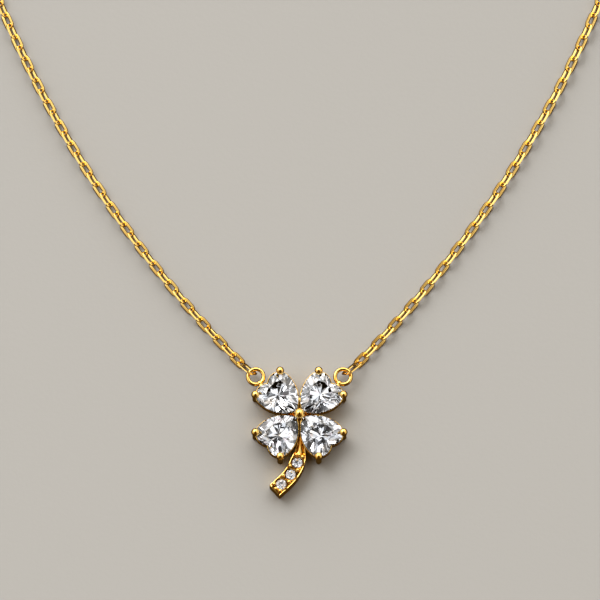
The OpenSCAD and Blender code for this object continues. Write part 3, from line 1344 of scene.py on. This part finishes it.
@dataclass(frozen=True)
class Route:
    """Route of the chain's right side, from the middle of a side ring to that of a clasp ring."""

    ring: Vector
    clasp_ring_x: float
    lean_deg: float = 45.0
    side_bend_r: float = 147.0
    straight: float = 3.0

    @property
    def side_x(self) -> float:
        """X of the straight part."""
        return self.ring.x + self.side_bend_r * (1 - math.cos(math.radians(self.lean_deg)))

    @property
    def side_len(self) -> float:
        """Length of the long bend."""
        return self.side_bend_r * math.radians(self.lean_deg)

    @property
    def top_bend_r(self) -> float:
        """Radius of the bend at the clasp's end."""
        return self.side_x - self.clasp_ring_x

    @property
    def length(self) -> float:
        """Length of the whole route."""
        return self.side_len + self.straight + self.top_bend_r * math.pi / 2

    @property
    def clasp_y(self) -> float:
        """Y of the clasp, in the frame."""
        rise = self.side_bend_r * math.sin(math.radians(self.lean_deg))
        return self.ring.y + rise + self.straight + self.top_bend_r

    def heading(self, s: float) -> float:
        """Find how the route leans.

        Args:
            s: Length from the side ring.

        Returns:
            Lean from +Y in radians, outwards positive.
        """
        if s < self.side_len:
            return math.radians(self.lean_deg) - s / self.side_bend_r
        return -max(0.0, (s - self.side_len - self.straight) / self.top_bend_r)

    def at(self, s: float) -> tuple[float, float]:
        """Find a place on the route.

        Args:
            s: Length from the side ring.

        Returns:
            X and Y, in the frame.
        """
        turn, lean = self.heading(s), math.radians(self.lean_deg)
        if s < self.side_len:
            return (
                self.ring.x + self.side_bend_r * (math.cos(turn) - math.cos(lean)),
                self.ring.y + self.side_bend_r * (math.sin(lean) - math.sin(turn)),
            )
        straight_y = self.ring.y + self.side_bend_r * math.sin(lean)
        return (
            self.side_x - self.top_bend_r * (1 - math.cos(turn)),
            straight_y + min(s - self.side_len, self.straight) - self.top_bend_r * math.sin(turn),
        )

    def frame_at(self, s: float, z: float, roll_deg: float, tip: float) -> Matrix:
        """Find the frame of a link.

        Args:
            s: Length from the side ring.
            z: Height of the link's middle.
            roll_deg: Roll about the route.
            tip: How far it is tipped down along the route, in radians.

        Returns:
            The frame, with X along the route.
        """
        turned = (
            Matrix.Rotation(math.radians(90) - self.heading(s), 4, "Z")
            @ Matrix.Rotation(tip, 4, "Y") @ Matrix.Rotation(math.radians(roll_deg), 4, "X")
        )
        return Matrix.Translation((*self.at(s), z)) @ turned


@dataclass(frozen=True)
class Chain:
    """Cable chain of flattened wire, whose links lie rolled to one side and the other in turn."""

    route: Route
    rings: SideRings
    link_l: float = 2.32
    link_w: float = 1.4
    wire: float = 0.32
    play: float = 0.12
    roll_deg: float = 40.0
    end_l: float = 3.0
    end_w: float = 1.75
    end_roll_deg: float = 56.0
    end_play: float = 0.24
    end_lift: float = 0.03
    clasp_z: float = 1.0
    # The wire is broad along a link's sides and narrower round its ends.
    bar: float = 0.45
    end_wire: float = 0.26
    thickness: float = 0.24
    corner_r: float = 0.38
    # Height of the wire's bevels, and width of its flats, as shares of its thickness and width.
    side: float = 0.59
    flat: float = 0.25
    # The longer links' square corners reach deeper than round wire would, so these links are raised.
    end_rise: float = 0.05

    def _link(self, length: float, width: float) -> BMesh:
        """Make a link of flattened eight-sided wire with tight corners, its side bars cut broader.

        Args:
            length: Its outer length.
            width: Its outer width.

        Returns:
            The link, lying flat along X.
        """
        link = bmesh.new()
        wire = self.end_wire
        x, y = length / 2 - self.wire + wire / 2 - self.corner_r, (width - wire) / 2 - self.corner_r
        a, b = wire / 2, self.thickness / 2
        ring = [(a, b * self.side), (a * self.flat, b)]
        ring += [(-p, q) for p, q in reversed(ring)]
        ring += [(p, -q) for p, q in reversed(ring)]
        geom = line_of(link, [Vector((-x, y + self.corner_r + p, q)) for p, q in ring], closed=True)
        corners = ((x, y), (x, -y), (-x, -y), (-x, y))
        for before, corner in zip((corners[-1], *corners), corners):
            edges = [g for g in geom if isinstance(g, BMEdge)]
            verts, edges = extrude_ring(link, edges)
            run = (corner[0] - before[0], corner[1] - before[1], 0.0)
            bmesh.ops.translate(link, verts=verts, vec=run)
            geom = spin(link, verts + edges, corner, -90.0, 2)
        weld(link)
        for vert in link.verts:
            if abs(vert.co.x) < x + WELD:
                edge = math.copysign(width / 2, vert.co.y)
                vert.co.y = edge + (vert.co.y - edge) * self.bar / wire
        return link

    def _ends(self) -> tuple[float, float, float]:
        """Find how the longer links hang.

        Returns:
            How far they hang from the rings' wire, and their slopes at the side ring and the clasp.
        """
        hang = (self.end_l - self.rings.wire) / 2 - self.wire - self.end_play
        low = ((self.end_w - self.wire) * math.sin(math.radians(self.end_roll_deg)) + self.wire) / 2
        low += self.end_lift
        arm = hang + (self.end_l - self.end_w) / 2
        return hang, math.asin((self.rings.z - low) / arm), math.asin((self.clasp_z - low) / arm)

    def places(self) -> tuple[list[Matrix], list[Matrix]]:
        """Lay out the right side of the chain.

        Returns:
            Places of the links, and of the longer links.
        """
        hang, ring_tip, clasp_tip = self._ends()
        ring_r = (self.rings.outer_d - self.rings.wire) / 2

        def span(tip: float) -> float:
            """Length of the route from the middle of a ring to the start of the other links."""
            return ring_r + (hang + self.end_l / 2 - self.wire) * math.cos(tip) - self.wire - self.end_play

        first = span(ring_tip)
        run = self.route.length - first - span(clasp_tip)
        count = math.ceil((run - self.link_l) / (self.link_l - 2 * self.wire - self.play)) + 1
        pitch = (run - self.link_l) / (count - 1)
        links = []
        for i in range(count):
            roll = self.roll_deg if i % 2 == 0 else self.roll_deg - 90
            z = ((self.link_w - self.wire) * abs(math.sin(math.radians(roll))) + self.wire) / 2
            links.append(self.route.frame_at(first + self.link_l / 2 + i * pitch, z, roll, 0.0))
        last_roll = self.end_roll_deg if count % 2 == 0 else -self.end_roll_deg
        ends = [
            self.route.frame_at(
                ring_r + hang * math.cos(ring_tip), self.rings.z - hang * math.sin(ring_tip),
                -self.end_roll_deg, ring_tip,
            ),
            self.route.frame_at(
                self.route.length - ring_r - hang * math.cos(clasp_tip),
                self.clasp_z - hang * math.sin(clasp_tip), last_roll, -clasp_tip,
            ),
        ]
        return links, ends

    def build(self) -> None:
        """Build both sides of the chain."""
        links, ends = self.places()
        for side in Side:
            flip = Matrix.Scale(side.value, 4, (1.0, 0.0, 0.0))
            rise = Matrix.Translation((0.0, 0.0, self.end_rise))
            bm = bmesh.new()
            put(bm, self._link(self.link_l, self.link_w), *(flip @ place for place in links))
            put(bm, self._link(self.end_l, self.end_w), *(flip @ rise @ place for place in ends))
            node = f"chain_{side.name.lower()}"
            finish_piece(f"{node}_links", bm, DRAWN_GOLD, [node], crease_deg=20.0)


@dataclass(frozen=True)
class Clasp:
    """Turned barrel clasp with a ring of round wire at each end."""

    y: float
    length: float = 6.0
    barrel_d: float = 2.0
    ring_d: float = 2.45
    wire: float = 0.49
    ring_x: float = 3.8575

    def build(self) -> None:
        """Build the barrel, grooved round its middle, and its rings."""
        r, half, edge = self.barrel_d / 2, self.length / 2, self.barrel_d / 5
        # Radius and place along the barrel, from the groove to an end; the other end is its mirror image.
        upper = [
            (r - 0.05, 0.06), (r, 0.12), (r, half - edge - 0.04), (r - 0.02, half - edge + 0.03),
            (r - edge, half - 0.02), (r - edge - 0.05, half), (0.0, half),
        ]
        profile = [(x, -z) for x, z in reversed(upper)] + upper
        middle = Matrix.Translation((0.0, self.y, r))
        bm = bmesh.new()
        put(bm, lathe(profile, 48), middle @ Matrix.Rotation(math.radians(90), 4, "Y"))
        rings = [middle @ Matrix.Translation((side.value * self.ring_x, 0.0, 0.0)) for side in Side]
        put(bm, wire_ring(self.ring_d, self.wire), *rings)
        finish_piece("clasp_body", bm, GOLD, ["clasp"])


@dataclass(frozen=True)
class SoftBox:
    """A soft white light that faces the clover. Lengths are in metres."""

    name: str
    azimuth_deg: float
    elevation_deg: float
    distance: float
    width: float
    height: float
    radiance: float

    def build(self, target: Vector) -> None:
        """Hang the light.

        Args:
            target: What it faces, in metres.
        """
        light = bpy.data.lights.new(self.name, "AREA")
        light.shape = "RECTANGLE"
        light.size, light.size_y = self.width, self.height
        light.energy = self.radiance * math.pi * self.width * self.height
        lamp = bpy.data.objects.new(self.name, light)
        azimuth, rise = math.radians(self.azimuth_deg), math.radians(self.elevation_deg)
        away = Vector((
            math.sin(azimuth) * math.cos(rise), math.cos(azimuth) * math.cos(rise), math.sin(rise),
        ))
        lamp.location = target + away * self.distance
        lamp.rotation_euler = away.to_track_quat("Z", "Y").to_euler()
        lamp.visible_camera = False
        bpy.context.scene.collection.objects.link(lamp)


@dataclass(frozen=True)
class Room:
    """Room round the necklace, which the gold mirrors.

    Its back and side walls are bright, its ground is dark, and a dark oval opening reaches from
    above the camera down to the front. The less light comes from a place, the warmer it is, as
    gold that mirrors gold is. Directions are unit vectors, with +Y to the back.
    """

    opening: Direction = (0.0, -0.485, 0.875)
    opening_size: Direction = (0.48, 0.95, 0.95)
    opening_tones: tuple[Point, ...] = ((0.0, 1.0), (0.06, 0.25), (0.14, 0.02))
    back: Direction = (-0.12, 0.75, 0.65)
    back_tones: tuple[Point, ...] = ((0.3, 0.14), (0.55, 0.34), (0.78, 1.3), (0.95, 3.6))
    side_tones: tuple[Point, ...] = ((0.72, 0.0), (0.9, 1.35))
    ground_tones: tuple[Point, ...] = ((0.49, 0.0), (0.53, 1.0))
    ground: float = 0.06
    shade_colour: str = "#FFC45A"
    colour: str = "#FFFBF4"

    def world(self) -> bpy.types.World:
        """Make the room.

        Returns:
            The world that holds it.
        """
        world = bpy.data.worlds.new("white_room")
        world.use_nodes = True
        tree = world.node_tree
        tree.nodes.clear()
        toward = add_node(tree, "TexCoord").outputs["Generated"]
        oval = add_node(
            tree, "Mapping", None,
            {
                "Location": tuple(-c / r for c, r in zip(self.opening, self.opening_size)),
                "Scale": tuple(1 / r for r in self.opening_size),
            },
            {"Vector": toward},
        )
        near = add_node(
            tree, "TexGradient", {"gradient_type": "SPHERICAL"}, None, {"Vector": oval.outputs["Vector"]},
        )
        back, across, up = (
            add_node(
                tree, "VectorMath", {"operation": "DOT_PRODUCT"}, {1: axis}, {0: toward},
            ).outputs["Value"] for axis in (self.back, (1.0, 0.0, 0.0), (0.0, 0.0, 1.0))
        )
        back, up = (
            add_node(
                tree, "MapRange", None, {"From Min": -1.0, "From Max": 1.0}, {"Value": share},
            ).outputs["Result"] for share in (back, up)
        )
        aside = add_node(tree, "Math", {"operation": "ABSOLUTE"}, None, {0: across}).outputs[0]
        shares = (
            (back, self.back_tones), (aside, self.side_tones),
            (near.outputs["Fac"], self.opening_tones), (up, self.ground_tones),
        )
        lit, walls, opening, ground = (
            add_node(tree, "ValToRGB", links={"Fac": share}, stops=grey_stops(tones)).outputs["Color"]
            for share, tones in shares
        )
        for operation, tone in (("MAXIMUM", walls), ("MULTIPLY", opening), ("MULTIPLY", ground)):
            lit = add_node(tree, "Math", {"operation": operation}, None, {0: lit, 1: tone}).outputs[0]
        lit = add_node(tree, "Math", {"operation": "MAXIMUM"}, {1: self.ground}, {0: lit}).outputs[0]
        tint = add_node(
            tree, "Mix", {"data_type": "RGBA"},
            {6: linear(self.shade_colour), 7: linear(self.colour)}, {0: lit},
        )
        backdrop = add_node(tree, "Background", None, None, {"Color": tint.outputs[2], "Strength": lit})
        add_node(tree, "OutputWorld", None, None, {"Surface": backdrop.outputs["Background"]})
        return world


@dataclass(frozen=True)
class Studio:
    """Pale floor, soft light, tent, room and camera. Lengths are in metres, if not marked otherwise."""

    elevation_deg: float = 76.0
    distance: float = 1.6
    frame_width: float = 0.075
    sensor_mm: float = 36.0
    clip: Point = (0.05, 50.0)
    target_mm: Direction = (0.075, -58.753, 1.0)
    key: SoftBox = SoftBox("key_box", -42.0, 48.0, 0.75, 0.4, 0.34, 4.5)
    room: Room = Room()
    tent_radius: float = 1.0
    floor_size: float = 3.0
    # The floor lies this far under the necklace, so that the two don't share a plane.
    floor_drop: float = 0.00002

    def build(self) -> None:
        """Set the stage."""
        self._floor()
        self._tent()
        self.key.build(clover_middle() * MM)
        bpy.context.scene.world = self.room.world()
        self._camera()

    def _floor(self) -> None:
        """Lay a large pale floor, which mirrors and stones don't see."""
        bm = bmesh.new()
        bmesh.ops.create_grid(bm, x_segments=8, y_segments=8, size=self.floor_size)
        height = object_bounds()[0].z - self.floor_drop
        bmesh.ops.translate(bm, verts=bm.verts, vec=(0.0, 0.0, height))
        floor = to_object("floor", bm, CARD)
        floor.visible_glossy = floor.visible_transmission = False
        floor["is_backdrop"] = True

    def _tent(self) -> None:
        """Put up a tent round the necklace, which only the light that comes out of the stones sees."""
        bm = bmesh.new()
        bmesh.ops.create_icosphere(bm, subdivisions=4, radius=self.tent_radius)
        tent = to_object("tent", bm, CLOTH)
        tent.visible_camera = tent.visible_diffuse = tent.visible_glossy = tent.visible_shadow = False
        tent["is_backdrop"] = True

    def _camera(self) -> None:
        """Stand the camera over the necklace, at the photograph's angle."""
        camera = bpy.data.cameras.new("camera")
        camera.sensor_width = self.sensor_mm
        camera.lens = camera.sensor_width * self.distance / self.frame_width
        camera.clip_start, camera.clip_end = self.clip
        rise = math.radians(self.elevation_deg)
        back = Vector((0.0, -math.cos(rise), math.sin(rise)))
        stand = bpy.data.objects.new("camera", camera)
        stand.location = Vector(self.target_mm) * MM + back * self.distance
        stand.rotation_euler = back.to_track_quat("Z", "Y").to_euler()
        bpy.context.scene.collection.objects.link(stand)
        bpy.context.scene.camera = stand
        bpy.context.scene.view_settings.view_transform = "Standard"


def main() -> None:
    """Build the necklace and its stage."""
    logging.basicConfig(level=logging.INFO, format="%(name)s: %(message)s")
    HeartStones().build()
    Setting().build()
    StemStones().build()
    Stem().build()
    rings = SideRings()
    rings.build()
    route = Route(ring=rings.centre(Side.RIGHT), clasp_ring_x=Clasp.ring_x)
    Chain(route=route, rings=rings).build()
    Clasp(y=route.clasp_y).build()
    Studio().build()


if __name__ == "__main__":
    main()
